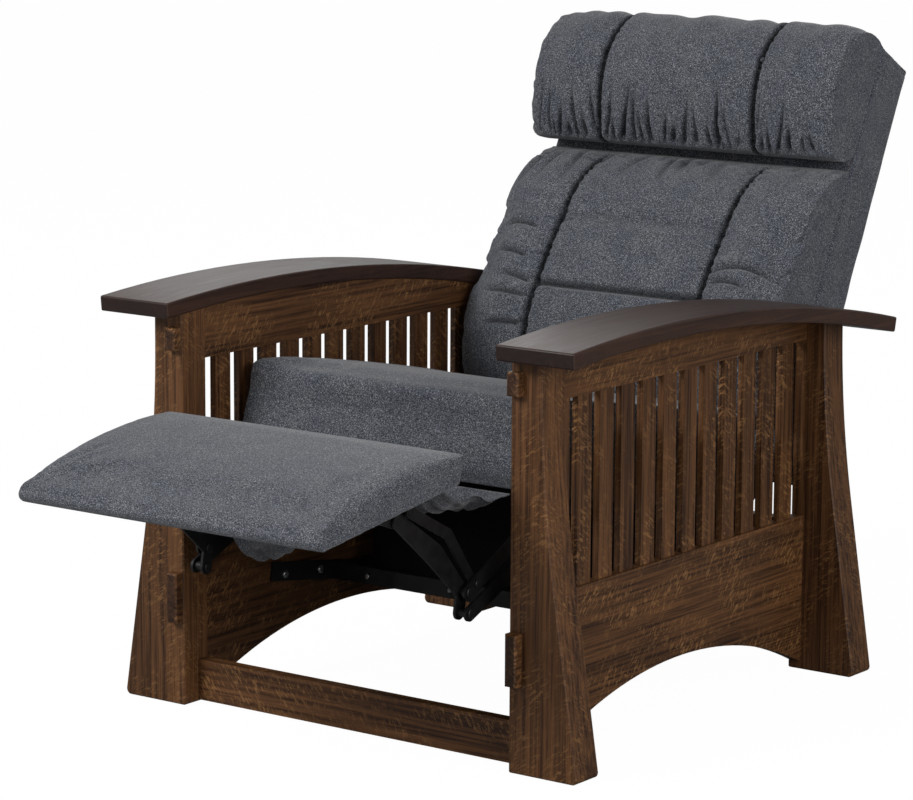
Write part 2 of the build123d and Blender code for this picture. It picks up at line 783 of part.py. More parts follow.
def footrest_cushion_profile(fullness, groove):
    """Side view of the footrest cushion, lapping the board's front edge."""
    bed = footrest_board_gauge + seat_gap
    lip = footrest_board_toe + seat_gap
    top = bed + (footrest_top - bed) * fullness
    edge = bed + (top - bed) * pillow_end_share
    toe = footrest_toe - (footrest_toe - lip) * (1 - fullness)
    under = Line((-footrest_board_rear, 0), (toe - footrest_toe_round / 2, 0))
    nose = ThreePointArc(
        (toe - footrest_toe_round / 2, 0), (toe, edge / 2), (toe - footrest_toe_round, edge)
    )
    crown = ThreePointArc((toe - footrest_toe_round, edge), (footrest_toe / 2, top), (-footrest_overhang, edge + bed / 2))
    rear = Line((-footrest_overhang, edge + bed / 2), (-footrest_board_rear, 0))
    return make_face(under.edges() + nose.edges() + crown.edges() + rear.edges())


def footrest_cushion():
    """The footrest's padding, open underneath for its board."""
    body = across(footrest_plane, footrest_half_width, footrest_cushion_profile, pillow_stations())
    reach = footrest_board_half_width + seat_gap
    outline = rectangle(
        -footrest_overhang - overrun, footrest_board_toe + seat_gap, -overrun, footrest_board_gauge + seat_gap
    )
    return body - side_prism(outline, -reach, reach, footrest_plane)


# Back: s runs up its rear face and t forward from it
back_up = (0.0, sin(radians(back_rake_deg)), cos(radians(back_rake_deg)))
back_plane = Plane(origin=(0, back_rear_y, back_rear_height), x_dir=back_up, z_dir=RIGHT)
frame_front_t = back_panel_thickness + seat_gap + back_post_depth


def on_back(point):
    """A side-view point as its place up the back and forward from its rear face."""
    dy, dz = point[0] - back_rear_y, point[1] - back_rear_height
    s, c = sin(radians(back_rake_deg)), cos(radians(back_rake_deg))
    return (dy * s + dz * c, -dy * c + dz * s)


def back_block(x_from, x_to, s_from, s_to, t_from, t_to):
    """A block square to the reclined back."""
    return side_prism(rectangle(s_from, s_to, t_from, t_to), x_from, x_to, back_plane)


back_post_outer_x = back_half_width - seat_gap * 3
back_post_inner_x = back_post_outer_x - back_post_thickness


def back_frame():
    """Two side posts with a top, a middle and a bottom rail between them."""
    t_from = back_panel_thickness + seat_gap
    post_board = back_block(
        back_post_inner_x, back_post_outer_x, back_foot, back_frame_top, t_from, frame_front_t
    )
    solids = [post_board, mirrored(post_board)]
    rails = [
        (back_foot, back_rail_width), (back_mid_rail_s, back_rail_width),
        (back_frame_top - back_rail_width, back_rail_width),
    ]
    for foot, width in rails:
        reach = back_post_inner_x
        solids.append(back_block(-reach, reach, foot, foot + width, t_from, t_from + back_rail_gauge))
    return compound(solids)


def back_panel():
    """The stiff outside back."""
    return back_block(
        -back_half_width, back_half_width, back_foot, back_frame_top, 0, back_panel_thickness
    )


def back_bracket():
    """The steel bracket inside a back post, with the recline pin."""
    pivot = on_back(back_pivot)
    end = (pivot[0] + back_bracket_length, pivot[1])
    outline = strap([pivot, end], [back_bracket_nose, back_bracket_nose])
    x_to = back_post_inner_x - seat_gap
    body = side_prism(outline, plate_outer_x + seat_gap, x_to, back_plane)
    return body + pin(back_pivot, pin_radius, plate_inner_x, x_to)


def lower_back_profile(fullness, groove):
    """Side view of the lower back cushion: three stacked rolls, the lowest the fullest."""
    length = lower_back_top - lower_back_foot
    base = frame_front_t + seat_gap

    def at(index, dent):
        along, out = lower_back_shares[index]
        return (lower_back_foot + length * along, base + lower_back_depth * out * fullness - dent * groove)

    foot, top = (lower_back_foot, base), (lower_back_top, base)
    bottom = Line(foot, at(0, 0))
    rolls = [
        ThreePointArc(at(0, 0), at(1, 0), at(2, pillow_groove)),
        ThreePointArc(at(2, pillow_groove), at(3, 0), at(4, pillow_groove)),
        ThreePointArc(at(4, pillow_groove), at(5, 0), at(6, 0)),
    ]
    close = [Line(at(6, 0), top), Line(top, foot)]
    return make_face([piece.edge() for piece in [bottom] + rolls + close])


def quilted_stations(seam_x):
    """Outer quarters, sewn seams and a middle panel with cross grooves."""
    seam = seam_x / back_half_width
    step = seam_half_width / back_half_width
    shoulder = (1 + seam_fullness_share) / 2
    seams = [(seam + step, shoulder, 0.0), (seam, seam_fullness_share, 0.0), (seam - step, shoulder, 0.0)]
    return station_shares + seams + middle_station_shares


def lower_back_cushion():
    return across(back_plane, back_half_width, lower_back_profile, quilted_stations(lower_seam_x))


def headrest_profile(fullness, groove):
    """Side view of the headrest, a full pillow that caps the top of the frame."""
    base = frame_front_t + seat_gap
    cap_foot = back_frame_top + seat_gap
    top = cap_foot + (headrest_top - cap_foot) * fullness
    depth = headrest_depth * fullness
    low, high = headrest_foot + headrest_cap, top - headrest_cap
    lip, brow = base + depth * headrest_lip_share, base + depth * headrest_brow_share
    crown = (low + (high - low) * headrest_crown_share, base + depth)
    under = ThreePointArc((low, base), (headrest_foot, (base + lip) / 2), (low, lip))
    face = ThreePointArc((low, lip), crown, (high, brow))
    ridge = ThreePointArc((high, brow), (top, brow - 2 * headrest_cap), (top - headrest_cap / 2, base))
    rest = Polyline((top - headrest_cap / 2, base), (high, headrest_cap), (low, headrest_cap), (low, base))
    return make_face(under.edges() + face.edges() + ridge.edges() + rest.edges())


def headrest_cushion():
    """The headrest, hollowed where it laps the top of the back frame."""
    body = across(back_plane, back_half_width, headrest_profile, quilted_stations(headrest_seam_x))
    reach = back_half_width + overrun
    return body - back_block(
        -reach, reach, headrest_foot - overrun, back_frame_top + seat_gap, -overrun, frame_front_t + seat_gap
    )


def flap_profile(sag):
    """Side view of the slack cloth where it hangs this far below a straight line."""
    start = (footrest_rear_y + footrest_board_rear + 2 * seat_gap, footrest_rear_height + seat_gap)
    end = (seat_front_y, seat_front_height - flap_gauge - seat_gap)
    points = []
    for share in flap_shares:
        fall = sag * (1 - abs(2 * share - 1) ** flap_fullness)
        points.append((start[0] + (end[0] - start[0]) * share, start[1] + (end[1] - start[1]) * share - fall))
    upper = Spline(*[(y, z + flap_gauge) for y, z in points])
    lower = Spline(*points)
    ends = [Line(points[0], (points[0][0], points[0][1] + flap_gauge)),
            Line(points[-1], (points[-1][0], points[-1][1] + flap_gauge))]
    return make_face([upper.edge(), lower.edge()] + [end_line.edge() for end_line in ends])


def footrest_flap():
    """The slack cloth from the footrest's rear edge to the underside of the seat's front."""
    sections = [Pos(x, 0, 0) * (side_view * flap_profile(sag)) for x, sag in flap_sags]
    return loft(sections, ruled=True)


def build_chair():
    """Every piece by name, in the chair's own frame."""
    pieces = {}
    pairs = {
        "arm": arm(),
        "front_post": front_post(),
        "back_post": back_post(),
        "side_bottom_rail": side_bottom_rail(),
        "side_top_rail": side_top_rail(),
        "mechanism_rail": mechanism_rail(),
        "seat_side_plate": seat_side_plate(),
        "rear_link": rear_link(),
        "front_link": front_link(),
    }
    for number, y in enumerate(slat_places(), start=1):
        pairs[f"slat_{number:02d}"] = slat(y)
    for name, piece in pairs.items():
        pieces[f"{name}_right"] = piece
        pieces[f"{name}_left"] = mirrored(piece)
    groups = {
        "control_links": control_link(),
        "stay_links": stay_link(),
        "footrest_brackets": footrest_bracket(),
        "back_brackets": back_bracket(),
    }
    for name, piece in groups.items():
        pieces[name] = compound([piece, mirrored(piece)])
    pieces["front_rail"] = cross_rail(
        front_rail_y, front_rail_foot, front_rail_height, front_stub_foot, front_stub_height
    )
    pieces["back_rail"] = cross_rail(
        back_rail_y, back_rail_foot, back_rail_height, back_stub_foot, back_stub_height
    )
    pieces["front_cross_tube"] = cross_tube(0)
    pieces["rear_cross_tube"] = cross_tube(rear_tube_run)
    pieces["seat_frame"] = seat_frame()
    pieces["seat_springs"] = seat_springs()
    pieces["seat_cushion"] = seat_cushion()
    pieces["back_frame"] = back_frame()
    pieces["back_panel"] = back_panel()
    pieces["lower_back_cushion"] = lower_back_cushion()
    pieces["headrest_cushion"] = headrest_cushion()
    pieces["footrest_board"] = footrest_board()
    pieces["footrest_cushion"] = footrest_cushion()
    pieces["footrest_flap"] = footrest_flap()
    return pieces


def middle_of(pieces):
    """Middle of the whole chair from front to back."""
    boxes = [piece.bounding_box() for piece in pieces.values()]
    return (min(box.min.Y for box in boxes) + max(box.max.Y for box in boxes)) / 2


os.makedirs("parts", exist_ok=True)
chair = build_chair()
chair_middle_y = middle_of(chair)
for node, shape in chair.items():
    placed = [Pos(0, -chair_middle_y, 0) * solid for solid in shape.solids()]
    export_step(compound(placed) if len(placed) > 1 else placed[0], f"parts/{node}.step")
print(len(chair), "pieces, middle of the chair at Y", round(chair_middle_y, 3))
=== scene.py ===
# %% [markdown]
# # A mission reclining armchair, dressed for its picture
# The joinery, the steel links and the springs come from the CAD model and are already right, so they only get their
# finishes here. What is soft is made new: a pillow in CAD is a plain block, and here it is stuffed, sewn and creased.
# Depths in the chair are counted from the front of its posts, and front_face is where that lies in the shared frame.

from math import cos, pi, radians, sin

import bpy
import numpy as np
from mathutils import Matrix, Vector


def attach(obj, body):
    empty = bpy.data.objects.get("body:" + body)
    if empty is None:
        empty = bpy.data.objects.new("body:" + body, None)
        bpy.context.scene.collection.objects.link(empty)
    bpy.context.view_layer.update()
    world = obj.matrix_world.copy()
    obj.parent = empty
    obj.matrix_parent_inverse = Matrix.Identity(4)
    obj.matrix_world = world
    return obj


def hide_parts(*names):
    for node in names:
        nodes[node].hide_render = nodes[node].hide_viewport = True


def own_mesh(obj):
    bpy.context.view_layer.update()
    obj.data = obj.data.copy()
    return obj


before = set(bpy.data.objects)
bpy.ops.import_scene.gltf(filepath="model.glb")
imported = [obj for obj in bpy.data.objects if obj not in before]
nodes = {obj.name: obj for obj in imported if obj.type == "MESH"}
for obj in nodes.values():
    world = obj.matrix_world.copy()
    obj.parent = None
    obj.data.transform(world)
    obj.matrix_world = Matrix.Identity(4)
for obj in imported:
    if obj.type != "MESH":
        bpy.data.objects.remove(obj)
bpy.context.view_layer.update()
front_face = -0.348537

# %% [markdown]
# ## The camera
# The picture was taken from in front, to the chair's left hand, a little above arm height and from far away with a
# long lens. The numbers come from lining up the posts, rails and arms, so the camera is placed by its three axes.

# %% Camera
camera_turn, camera_rise, camera_roll = radians(36.388), radians(10.231), radians(0.293)
camera_eye = Vector((3.12006, front_face - 3.96298, 1.39935))
picture_width, focal_pixels = 913, 3666.98
camera_back = Vector((sin(camera_turn) * cos(camera_rise), -cos(camera_turn) * cos(camera_rise), sin(camera_rise)))
level_right = Vector((cos(camera_turn), sin(camera_turn), 0))
level_up = camera_back.cross(level_right)
camera_right = level_right * cos(camera_roll) + level_up * sin(camera_roll)
camera_up = level_up * cos(camera_roll) - level_right * sin(camera_roll)

bpy.ops.object.camera_add()
camera = bpy.context.object
camera.name = "picture_camera"
camera.matrix_world = (
    Matrix.Translation(camera_eye) @ Matrix((camera_right, camera_up, camera_back)).transposed().to_4x4()
)
camera.data.sensor_width = 36
camera.data.lens = focal_pixels / picture_width * camera.data.sensor_width
picture_middle, lens_axis = (456.5, 400), (455.884, 399.429)
camera.data.shift_x = (picture_middle[0] - lens_axis[0]) / picture_width
camera.data.shift_y = (lens_axis[1] - picture_middle[1]) / picture_width
camera.data.clip_end = 100
bpy.context.scene.camera = camera
print("camera", round(camera.data.lens, 1), "mm lens,", round(camera_eye.length, 2), "m away")

# %% [markdown]
# ## The studio
# A white floor and a white room, with three large soft lamps. The rear lamp glances off the front ends of the arms.
# The floor and the room are white to the camera only, so they don't veil the dark wood with reflections, and the
# floor keeps a faint soft shadow.

# %% Helpers for materials
def add_node(tree, kind, inputs=None, **settings):
    """A shader node with its settings, and with its inputs set or linked."""
    node = tree.nodes.new("ShaderNode" + kind)
    for name, value in settings.items():
        setattr(node, name, value)
    for socket, value in (inputs or {}).items():
        if isinstance(value, bpy.types.NodeSocket):
            tree.links.new(value, node.inputs[socket])
        else:
            node.inputs[socket].default_value = value
    return node


def new_finish(name):
    """A new material, with its tree and its Principled shader."""
    finish = bpy.data.materials.new(name)
    finish.use_nodes = True
    return finish, finish.node_tree, finish.node_tree.nodes["Principled BSDF"]


def ramp(tree, value, stops):
    """A colour ramp through the given places and colours."""
    node = add_node(tree, "ValToRGB", {"Fac": value})
    elements = node.color_ramp.elements
    while len(elements) < len(stops):
        elements.new(0.5)
    for element, (place, colour) in zip(elements, stops):
        element.position = place
        element.color = (*colour, 1)
    return node.outputs["Color"]


def blend_colours(tree, share, first, second, kind="MIX"):
    """Two colours mixed by a share, or one laid on the other by a blend type."""
    node = add_node(tree, "Mix", data_type="RGBA", blend_type=kind)
    for socket, value in ((node.inputs[0], share), (node.inputs[6], first), (node.inputs[7], second)):
        if isinstance(value, bpy.types.NodeSocket):
            tree.links.new(value, socket)
        else:
            socket.default_value = value if isinstance(value, float) else (*value, 1)
    return node.outputs[2]


def seen_directly(tree):
    """1 for a ray that comes straight from the camera, and 0 for the light that falls on things."""
    return add_node(tree, "LightPath").outputs["Is Camera Ray"]


# %% White room, floor and lamps
room = bpy.data.worlds.new("white_room")
bpy.context.scene.world = room
room.use_nodes = True
tree = room.node_tree
sky = tree.nodes["Background"]
room_light, room_seen = 0.30, 1.0
strength = add_node(tree, "Mix", {0: seen_directly(tree)}, data_type="FLOAT")
strength.inputs[2].default_value = room_light
strength.inputs[3].default_value = room_seen
tree.links.new(strength.outputs[0], sky.inputs["Strength"])
sky.inputs["Color"].default_value = (1, 1, 1, 1)

bpy.ops.mesh.primitive_plane_add(size=80, location=(0, 0, -0.0005))
floor = bpy.context.object
floor.name = "floor"
bpy.ops.object.transform_apply(location=True)
paper, tree, shader = new_finish("white_paper")
shader.inputs["Base Color"].default_value = (0.3, 0.3, 0.3, 1)
shader.inputs["Roughness"].default_value = 1
shader.inputs["Specular IOR Level"].default_value = 0
floor_glow, glow_share = 1.09, 0.9
glow = add_node(tree, "Emission", {"Color": (1, 1, 1, 1), "Strength": floor_glow})
weight = add_node(tree, "Math", {0: seen_directly(tree), 1: glow_share}, operation="MULTIPLY")
both = add_node(tree, "MixShader", {0: weight.outputs[0], 1: shader.outputs[0], 2: glow.outputs[0]})
tree.links.new(both.outputs[0], tree.nodes["Material Output"].inputs["Surface"])
floor.data.materials.append(paper)


def soft_lamp(name, place, target, size, watts):
    """A square lamp that faces a point."""
    bpy.ops.object.light_add(type="AREA", location=place)
    lamp = bpy.context.object
    lamp.name = name
    lamp.data.size = size
    lamp.data.energy = watts
    lamp.rotation_euler = (Vector(target) - Vector(place)).to_track_quat("-Z", "Y").to_euler()


soft_lamp("key_lamp", (-1.6, -4.0, 3.3), (0, 0, 0.5), 1.6, 150)
soft_lamp("side_lamp", (4.4, -1.4, 1.7), (0, 0, 0.4), 2.0, 88)
soft_lamp("rear_lamp", (-3.3, 4.1, 2.6), (0, 0, 0.5), 1.8, 18)
bpy.context.scene.view_settings.view_transform = "Standard"
print("three lamps over a white floor")

# %% [markdown]
# ## Oak
# The frame is quarter-sawn white oak, stained dark brown and lacquered. Quarter sawing shows straight grain, open
# pores as short dark dashes, and ray fleck, the pale ribbons that cross the grain. Each is a noise pattern stretched
# along the board, so one material is made for each direction that a board can run in.

# %% Oak finish
def oak(name, run, dark, light, fleck, offset, lacquer=0.12, fleck_share=0.55):
    """Stained oak whose grain runs along X, Y or Z. The ends of the boards are darker, as end grain drinks stain."""
    finish, tree, shader = new_finish(name)
    turn = {"X": (0, pi / 2, 0), "Y": (pi / 2, 0, 0), "Z": (0, 0, 0)}[run]
    place = add_node(tree, "TexCoord").outputs["Object"]
    board = add_node(tree, "Mapping", {"Vector": place, "Location": offset, "Rotation": turn}).outputs[0]

    def pattern(across, along, detail, twist=(0, 0, 0), warp=0.0):
        """Noise stretched along the board, in bumps per metre."""
        laid = add_node(tree, "Mapping", {"Vector": board, "Rotation": twist}).outputs[0]
        laid = add_node(tree, "Mapping", {"Vector": laid, "Scale": (across, across, along)}).outputs[0]
        settings = {"Vector": laid, "Scale": 1.0, "Detail": detail, "Roughness": 0.6, "Distortion": warp}
        return add_node(tree, "TexNoise", settings).outputs["Fac"]

    broad = pattern(16, 1.3, 3, warp=0.6)
    streaks = pattern(230, 4.5, 4)
    pores = pattern(620, 16, 2)
    rays = pattern(75, 330, 2, twist=(0.62, 0.5, 0), warp=0.8)
    patches = pattern(22, 9, 2)
    sum_of = add_node(tree, "Math", {0: broad, 1: 0.55, 2: streaks}, operation="MULTIPLY_ADD").outputs[0]
    colour = ramp(tree, sum_of, [(0.6, dark), (0.95, light)])
    shows = ramp(tree, rays, [(0.53, (0, 0, 0)), (0.62, (1, 1, 1))])
    where = ramp(tree, patches, [(0.4, (0, 0, 0)), (0.62, (1, 1, 1))])
    shows = blend_colours(tree, 1.0, shows, where, "MULTIPLY")
    shows = blend_colours(tree, 1.0, shows, (fleck_share,) * 3, "MULTIPLY")
    colour = blend_colours(tree, shows, colour, fleck)
    hollow = ramp(tree, pores, [(0.56, (1, 1, 1)), (0.68, (0.42, 0.38, 0.36))])
    colour = blend_colours(tree, 0.85, colour, hollow, "MULTIPLY")
    facing = add_node(tree, "TexCoord").outputs["Normal"]
    along = {"X": (1, 0, 0), "Y": (0, 1, 0), "Z": (0, 0, 1)}[run]
    facing = add_node(tree, "VectorMath", {0: facing, 1: along}, operation="DOT_PRODUCT").outputs["Value"]
    facing = add_node(tree, "Math", {0: facing}, operation="ABSOLUTE").outputs[0]
    end_grain = ramp(tree, facing, [(0.7, (1, 1, 1)), (0.9, (0.42, 0.40, 0.46))])
    colour = blend_colours(tree, 1.0, colour, end_grain, "MULTIPLY")
    tree.links.new(colour, shader.inputs["Base Color"])
    rough = add_node(tree, "MapRange", {"Value": streaks, 1: 0.3, 2: 0.7, 3: 0.42, 4: 0.6}).outputs[0]
    tree.links.new(rough, shader.inputs["Roughness"])
    shader.inputs["Specular IOR Level"].default_value = 0.3
    shader.inputs["Coat Weight"].default_value = lacquer
    shader.inputs["Coat Roughness"].default_value = 0.3
    relief = add_node(tree, "Bump", {"Height": hollow, "Strength": 0.25, "Distance": 0.0006})
    tree.links.new(relief.outputs[0], shader.inputs["Normal"])
    return finish


stain_dark, stain_light, ray_tone = (0.029, 0.0103, 0.0034), (0.162, 0.069, 0.024), (0.33, 0.165, 0.061)
arm_dark, arm_light, arm_ray = (0.024, 0.0095, 0.0055), (0.058, 0.024, 0.0135), (0.082, 0.038, 0.021)
timber_dark, timber_light, timber_ray = (0.19, 0.12, 0.07), (0.33, 0.23, 0.14), (0.36, 0.26, 0.17)
oaks = {
    "post": oak("oak_posts", "Z", stain_dark, stain_light, ray_tone, (0.31, 0.12, 0.4)),
    "rail": oak("oak_rails", "Y", stain_dark, stain_light, ray_tone, (0.77, 0.35, 0.1), fleck_share=0.75),
    "slat": oak("oak_slats", "Z", stain_dark, stain_light, ray_tone, (1.31, 0.62, 1.4), fleck_share=0.7),
    "cross": oak("oak_cross_rails", "X", stain_dark, stain_light, ray_tone, (0.2, 1.35, 0.8)),
    "arm": oak("oak_arms", "Y", arm_dark, arm_light, arm_ray, (2.1, 0.4, 0.3), 0.35, 0.3),
    "hidden": oak("plain_timber", "X", timber_dark, timber_light, timber_ray, (0.5, 2.2, 0.9), 0.0, 0.2),
}

# %% [markdown]
# ## Tweed and steel
# The upholstery is a heathered blue-grey tweed: pale and dark fibres spun together, so close up it is speckled like
# salt and pepper, with no pattern. The mechanism is black enamelled steel with bright zinc-plated bolts.

# %% Tweed, enamel and zinc finishes
def tweed(name, dark, middle, pale):
    """Heathered wool cloth, with shade painted in: darker where it lies deep in a fold."""
    finish, tree, shader = new_finish(name)
    place = add_node(tree, "TexCoord").outputs["Object"]
    spun = {"Vector": place, "Scale": 620.0, "Detail": 3.0, "Roughness": 0.75}
    fibres = add_node(tree, "TexNoise", spun).outputs["Fac"]
    flecks = add_node(tree, "TexVoronoi", {"Vector": place, "Scale": 700.0}).outputs["Color"]
    clouds = add_node(tree, "TexNoise", {"Vector": place, "Scale": 24.0, "Detail": 3.0}).outputs["Fac"]
    colour = ramp(tree, fibres, [(0.36, dark), (0.5, middle), (0.66, pale)])
    speck = add_node(tree, "RGBToBW", {"Color": flecks}).outputs[0]
    speck = ramp(tree, speck, [(0.2, (0.62, 0.62, 0.64)), (0.5, (1.0, 1.0, 1.0)), (0.8, (1.5, 1.5, 1.47))])
    colour = blend_colours(tree, 1.0, colour, speck, "MULTIPLY")
    shade = ramp(tree, clouds, [(0.35, (0.86, 0.88, 0.93)), (0.65, (1.08, 1.07, 1.04))])
    colour = blend_colours(tree, 1.0, colour, shade, "MULTIPLY")
    # Painted shade: the colour is darkened, down to 0.3 of itself, by how deep each point lies in a sewn groove,
    # pleat or crease.
    fold = add_node(tree, "Attribute", attribute_name="fold_depth").outputs["Fac"]
    fold = add_node(tree, "MapRange", {"Value": fold, 1: 0.0012, 2: 0.0085, 3: 1.0, 4: 0.30}).outputs[0]
    colour = blend_colours(tree, 1.0, colour, fold, "MULTIPLY")
    tree.links.new(colour, shader.inputs["Base Color"])
    shader.inputs["Roughness"].default_value = 0.95
    shader.inputs["Specular IOR Level"].default_value = 0.15
    shader.inputs["Sheen Weight"].default_value = 0.25
    shader.inputs["Sheen Roughness"].default_value = 0.5
    relief = add_node(tree, "Bump", {"Height": fibres, "Strength": 0.55, "Distance": 0.001})
    tree.links.new(relief.outputs[0], shader.inputs["Normal"])
    return finish


def plain_finish(name, colour, metallic, rough, relief_height):
    """Enamelled or plated steel or plain cloth, a little uneven in tone and gloss."""
    finish, tree, shader = new_finish(name)
    place = add_node(tree, "TexCoord").outputs["Object"]
    coarse = add_node(tree, "TexNoise", {"Vector": place, "Scale": 60.0, "Detail": 4.0}).outputs["Fac"]
    fine = add_node(tree, "TexNoise", {"Vector": place, "Scale": 700.0, "Detail": 2.0}).outputs["Fac"]
    tone = ramp(tree, coarse, [(0.3, tuple(0.8 * c for c in colour)), (0.7, colour)])
    tree.links.new(tone, shader.inputs["Base Color"])
    shader.inputs["Metallic"].default_value = metallic
    spread = {"Value": coarse, 1: 0.3, 2: 0.7, 3: rough - 0.08, 4: rough + 0.08}
    tree.links.new(add_node(tree, "MapRange", spread).outputs[0], shader.inputs["Roughness"])
    relief = add_node(tree, "Bump", {"Height": fine, "Strength": 0.2, "Distance": relief_height})
    tree.links.new(relief.outputs[0], shader.inputs["Normal"])
    return finish


cloth = tweed("blue_grey_tweed", (0.016, 0.018, 0.023), (0.067, 0.0715, 0.086), (0.288, 0.30, 0.328))
enamel = plain_finish("black_enamel", (0.0045, 0.0045, 0.005), 0.0, 0.45, 0.0003)
zinc = plain_finish("zinc_plate", (0.55, 0.56, 0.58), 1.0, 0.32, 0.0001)
wire = plain_finish("spring_wire", (0.30, 0.30, 0.31), 1.0, 0.4, 0.0001)

# %% Put the finishes on the CAD pieces
def dress(node_name, finish):
    """One finish on a CAD piece, whose mesh stays as it is."""
    node_mesh = nodes[node_name].data
    node_mesh.materials.clear()
    node_mesh.materials.append(finish)


for node_name in nodes:
    if "post" in node_name:
        dress(node_name, oaks["post"])
    elif node_name.startswith("arm"):
        dress(node_name, oaks["arm"])
    elif node_name.startswith("slat"):
        dress(node_name, oaks["slat"])
    elif node_name.startswith("side_"):
        dress(node_name, oaks["rail"])
    elif node_name in ("front_rail", "back_rail"):
        dress(node_name, oaks["cross"])
    elif node_name in ("seat_frame", "back_frame", "footrest_board"):
        dress(node_name, oaks["hidden"])
    elif node_name == "seat_springs":
        dress(node_name, wire)
    elif "cushion" in node_name or node_name in ("footrest_flap", "back_panel"):
        dress(node_name, cloth)
    else:
        dress(node_name, enamel)
print("finishes on", len(nodes), "pieces")

# %% [markdown]
# ## How a cushion is made
# A cushion starts as a copy of its CAD solid, remeshed to an even skin. Cloth simulation then blows it up like a
# bag of air while the points on its seams and on its board stay held, which gives the full, soft forms of stuffing
# between stitching. The stitched grooves and the pleats come afterwards, as small moves along the normals.

# %% Helpers for soft pieces
def alone(piece):
    """Only this piece selected and active."""
    if bpy.context.object and bpy.context.object.mode != "OBJECT":
        bpy.ops.object.mode_set(mode="OBJECT")
    bpy.ops.object.select_all(action="DESELECT")
    piece.select_set(True)
    bpy.context.view_layer.objects.active = piece


def points_of(piece):
    values = np.empty(len(piece.data.vertices) * 3, np.float32)
    piece.data.vertices.foreach_get("co", values)
    return values.reshape(-1, 3).astype(float)


def normals_of(piece):
    values = np.empty(len(piece.data.vertices) * 3, np.float32)
    piece.data.vertices.foreach_get("normal", values)
    return values.reshape(-1, 3).astype(float)


def place_points(piece, points):
    piece.data.vertices.foreach_set("co", points.astype(np.float32).ravel())
    piece.data.update()


def skin_of(node_name, name, voxel, inset, smooth=4):
    """An even skin a little inside a CAD solid."""
    mesh = nodes[node_name].data.copy()
    mesh.materials.clear()
    piece = bpy.data.objects.new(name, mesh)
    bpy.context.scene.collection.objects.link(piece)
    alone(piece)
    bpy.ops.object.mode_set(mode="EDIT")
    bpy.ops.mesh.select_all(action="SELECT")
    bpy.ops.mesh.remove_doubles(threshold=0.00002)
    bpy.ops.mesh.normals_make_consistent(inside=False)
    bpy.ops.object.mode_set(mode="OBJECT")
    piece.data.remesh_voxel_size = voxel
    bpy.ops.object.voxel_remesh()
    bpy.ops.object.mode_set(mode="EDIT")
    bpy.ops.mesh.select_all(action="SELECT")
    bpy.ops.mesh.vertices_smooth(factor=0.5, repeat=smooth)
    bpy.ops.object.mode_set(mode="OBJECT")
    place_points(piece, points_of(piece) - inset * normals_of(piece))
    return piece


def stuff(piece, held, pressure, most, frames=20):
    """Air pressure inside the skin, with some points held and no point moved further than most."""
    group = piece.vertex_groups.new(name="held")
    group.add([int(i) for i in np.flatnonzero(held)], 1.0, "REPLACE")
    modifier = piece.modifiers.new("stuffing", "CLOTH")
    modifier.settings.vertex_group_mass = "held"
    modifier.settings.use_pressure = True
    modifier.settings.uniform_pressure_force = pressure
    modifier.settings.effector_weights.gravity = 0
    modifier.point_cache.frame_end = frames
    before = points_of(piece)
    for number in range(1, frames + 1):
        bpy.context.scene.frame_set(number)
    alone(piece)
    bpy.ops.object.modifier_apply(modifier="stuffing")
    bpy.context.scene.frame_set(1)
    step = points_of(piece) - before
    length = np.linalg.norm(step, axis=1, keepdims=True)
    place_points(piece, before + step * np.minimum(1, most / np.maximum(length, 1e-9)))
    print(piece.name, "stuffed, moved", round(float(np.minimum(length, most).mean()) * 1000, 1), "mm on average")


def refine(piece):
    """One level of subdivision, kept."""
    alone(piece)
    modifier = piece.modifiers.new("finer", "SUBSURF")
    modifier.levels = modifier.render_levels = 1
    bpy.ops.object.modifier_apply(modifier="finer")


def ripple(along, pitch, seed):
    """A smooth random wave between -1 and 1, about one bump to each pitch."""
    values = np.random.default_rng(seed).uniform(-1, 1, 2048)
    place = along / pitch + 700
    low = np.floor(place).astype(int)
    share = place - low
    share = share * share * (3 - 2 * share)
    return values[low % 2048] * (1 - share) + values[(low + 1) % 2048] * share


def stitched(distance, depth, width):
    """A sewn groove, by the distance from its line."""
    return -depth * np.exp(-((distance / width) ** 2))


def pleats(along, distance, first, last, pitch, reach, depth, seed):
    """Single folds at uneven places along a seam, each with its own length, slant and depth."""
    random = np.random.default_rng(seed)
    move = np.zeros_like(along)
    for place in np.arange(first, last, pitch):
        middle = place + pitch * random.uniform(-0.4, 0.4)
        length = reach * random.choice([0.5, 0.8, 1.2, 2.2])
        slant, width = random.uniform(-0.55, 0.55), pitch * random.uniform(0.2, 0.32)
        off = (along - middle - slant * distance * np.exp(-distance / (2 * length))) / width
        fade = np.exp(-((np.abs(distance) / length) ** 2)) * depth * random.uniform(0.45, 1)
        move += fade * (0.5 * np.exp(-((off - 1.7) ** 2)) - np.exp(-(off**2)))
    return move


def fill_width(piece, half, inner=0.17):
    """Move the sides of a pillow out until it is this wide."""
    points = points_of(piece)
    across = np.abs(points[:, 0])
    share = np.clip((across - inner) / (across.max() - inner), 0, 1)
    points[:, 0] += np.sign(points[:, 0]) * (half - across.max()) * share * share * (3 - 2 * share)
    place_points(piece, points)


def flush_sides(piece, half, inner=0.25):
    """Bring the faces that look sideways out to one plane, flush with the back's cover."""
    points, sideways = points_of(piece), np.abs(normals_of(piece)[:, 0])
    across = np.abs(points[:, 0])
    share = np.clip((sideways - 0.55) / 0.3, 0, 1) * np.clip((across - inner) / 0.015, 0, 1)
    points[:, 0] += np.sign(points[:, 0]) * share * (half - across)
    place_points(piece, points)


def sew(piece, points, normals, move):
    """Move the points along their normals, and keep how deep each lies, from which the cloth's finish paints shade
    into the folds.
    """
    place_points(piece, points + normals * move[:, None])
    # How deep each point lies, read by the tweed to paint shade into the folds.
    depth = piece.data.attributes.new("fold_depth", "FLOAT", "POINT")
    depth.data.foreach_set("value", np.maximum(-move, 0).astype(np.float32))


